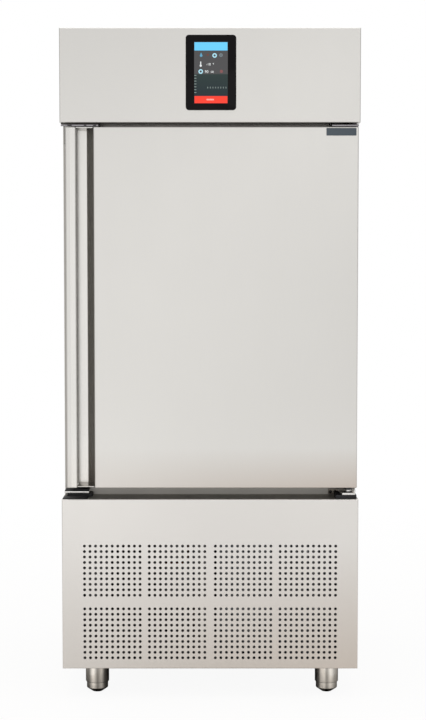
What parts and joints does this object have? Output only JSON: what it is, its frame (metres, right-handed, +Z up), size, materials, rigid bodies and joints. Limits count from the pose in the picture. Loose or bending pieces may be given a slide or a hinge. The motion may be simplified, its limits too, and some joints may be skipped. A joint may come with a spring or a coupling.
{
  "type": "blast chiller",
  "caption": "Upright single-door stainless steel blast chiller with touch display header, recessed full-height door pull, perforated plinth panel and adjustable feet.",
  "frame": {"origin": "middle of the footprint, on the floor", "axes": "+Z up, -Y towards the user (the door side), +X to the user's right"},
  "size_m": [0.8, 0.8, 1.8],
  "materials": {
    "stainless": "satin",
    "chamber_steel": "satin",
    "galvanised": "satin",
    "polished_steel": "polished",
    "foam": "matte",
    "display_glass": "polished",
    "display_screen": "gloss",
    "black_plastic": "matte",
    "white_plastic": "satin",
    "gasket_rubber": "matte",
    "black_rubber": "matte",
    "copper": "satin",
    "aluminium_fins": "satin",
    "black_paint": "gloss",
    "motor_paint": "satin",
    "circuit_board": "satin",
    "badge": "satin"
  },
  "bodies": {
    "cabinet": {"left_side_panel": "stainless", "right_side_panel": "stainless", "back_panel": "galvanised", "rear_grille": "galvanised", "roof_panel": "stainless", "header_panel": "stainless", "lower_front_panel": "stainless", "front_cheeks": "stainless", "header_soffit": "stainless", "plinth_ledge": "stainless", "base_plate": "galvanised", "door_frame": "stainless", "chamber_liner": "chamber_steel", "body_insulation": "foam", "body_end_sheets": "galvanised", "display_glass": "display_glass", "display_screen": "display_screen", "display_housing": "black_plastic", "hinge_brackets": "stainless", "spare_hinge_plates": "stainless", "hinge_pads": "black_plastic", "leg_sleeves": "polished_steel", "tray_rack_left": "chamber_steel", "tray_rack_right": "chamber_steel", "rack_studs": "chamber_steel", "fan_deflector": "chamber_steel", "fan_guards": "polished_steel", "fan_motors": "motor_paint", "evaporator_coil": "aluminium_fins", "condenser_coil": "aluminium_fins", "condenser_shroud": "galvanised", "fan_duct": "galvanised", "compressor": "black_paint", "compressor_mounts": "black_rubber", "terminal_cover": "black_plastic", "liquid_receiver": "black_paint", "filter_drier": "copper", "refrigerant_pipes": "copper", "drain_pipe": "white_plastic", "cable_gland": "black_plastic", "control_board": "circuit_board", "contactor": "black_plastic", "terminal_block": "white_plastic", "probe_socket": "black_plastic", "door_sensor": "white_plastic", "cabinet_screws": "polished_steel"},
    "door": {"door_skin": "stainless", "pull_end_caps": "stainless", "door_inner_pan": "chamber_steel", "door_foam": "foam", "door_gasket": "gasket_rubber", "badge_plate": "badge", "hinge_bushes": "black_plastic"},
    "upper_fan_rotor": {"upper_fan": "black_plastic"},
    "lower_fan_rotor": {"lower_fan": "black_plastic"},
    "condenser_fan_rotor": {"condenser_fan": "black_plastic"},
    "foot_front_left_body": {"foot_front_left": "polished_steel"},
    "foot_front_right_body": {"foot_front_right": "polished_steel"},
    "foot_rear_left_body": {"foot_rear_left": "polished_steel"},
    "foot_rear_right_body": {"foot_rear_right": "polished_steel"}
  },
  "joints": [
    {"name": "door_hinge", "type": "hinge", "parent": "cabinet", "child": "door", "pos_m": [0.3745, -0.365, 1.056], "axis": [0, 0, 1], "range_deg": [0, 110]},
    {"name": "upper_fan_spin", "type": "hinge", "parent": "cabinet", "child": "upper_fan_rotor", "pos_m": [0, 0.204, 1.27], "axis": [0, 1, 0], "continuous": true},
    {"name": "lower_fan_spin", "type": "hinge", "parent": "cabinet", "child": "lower_fan_rotor", "pos_m": [0, 0.204, 0.84], "axis": [0, 1, 0], "continuous": true},
    {"name": "condenser_fan_spin", "type": "hinge", "parent": "cabinet", "child": "condenser_fan_rotor", "pos_m": [0.19, -0.189, 0.283], "axis": [0, 1, 0], "continuous": true},
    {"name": "foot_front_left_screw", "type": "slide", "parent": "cabinet", "child": "foot_front_left_body", "axis": [0, 0, -1], "range_m": [-0.01, 0.025]},
    {"name": "foot_front_right_screw", "type": "slide", "parent": "cabinet", "child": "foot_front_right_body", "axis": [0, 0, -1], "range_m": [-0.01, 0.025]},
    {"name": "foot_rear_left_screw", "type": "slide", "parent": "cabinet", "child": "foot_rear_left_body", "axis": [0, 0, -1], "range_m": [-0.01, 0.025]},
    {"name": "foot_rear_right_screw", "type": "slide", "parent": "cabinet", "child": "foot_rear_right_body", "axis": [0, 0, -1], "range_m": [-0.01, 0.025]}
  ]
}
